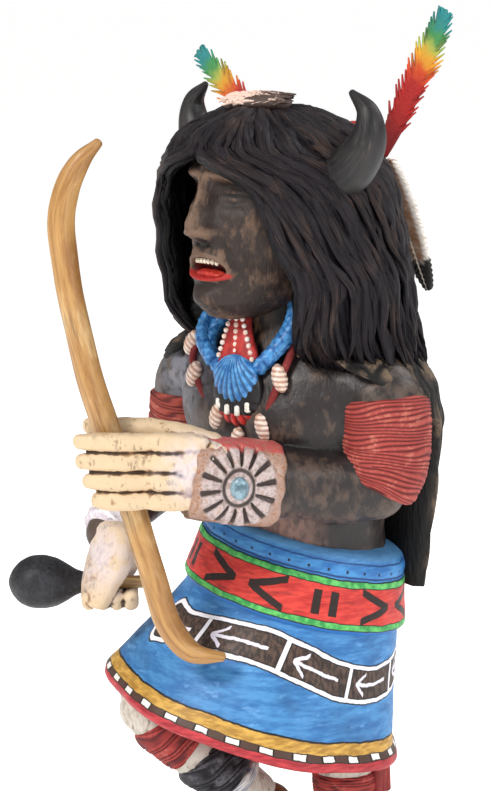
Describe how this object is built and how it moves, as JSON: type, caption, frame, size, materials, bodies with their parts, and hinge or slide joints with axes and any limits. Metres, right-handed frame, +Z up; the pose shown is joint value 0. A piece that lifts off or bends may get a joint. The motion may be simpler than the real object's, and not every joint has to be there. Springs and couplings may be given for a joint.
{
  "type": "kachina doll",
  "caption": "Carved and painted wooden kachina doll: a horned buffalo dancer in kilt and hide mantle, stepping on a round base with a bow and a gourd rattle.",
  "frame": {"origin": "centre of the round base's underside, where it meets the surface it stands on", "axes": "+Z up, the doll facing -Y, its left hand with the bow on +X"},
  "size_m": [0.1495, 0.1614, 0.3695],
  "materials": {
    "figure": "carved wood, matte paint in many colours: dark hair and skin, blue kilt, red sash, pale hands",
    "bow": "satin honey-brown varnished wood",
    "stick": "satin bare wood",
    "gourd": "matte black paint on wood",
    "horn": "matte grey-black paint on wood",
    "dyed_feather": "painted in bands from red through orange, yellow and green to teal",
    "eagle_feather": "painted white with a brown shaft and a dark tip",
    "knot": "matte red paint, carved as wound yarn",
    "tuft": "painted pale, pink and brown in short strokes",
    "base": "satin stained wood"
  },
  "bodies": {
    "root": {"base": "base", "figure": "figure", "feather_knot": "knot", "crown_tuft": "tuft", "horn_left": "horn", "horn_right": "horn", "bow": "bow", "rattle_stick": "stick", "rattle_gourd": "gourd", "feather_left": "dyed_feather", "feather_right": "dyed_feather", "feather_hanging_left": "eagle_feather", "feather_hanging_middle": "eagle_feather", "feather_hanging_right": "eagle_feather"}
  },
  "joints": []
}
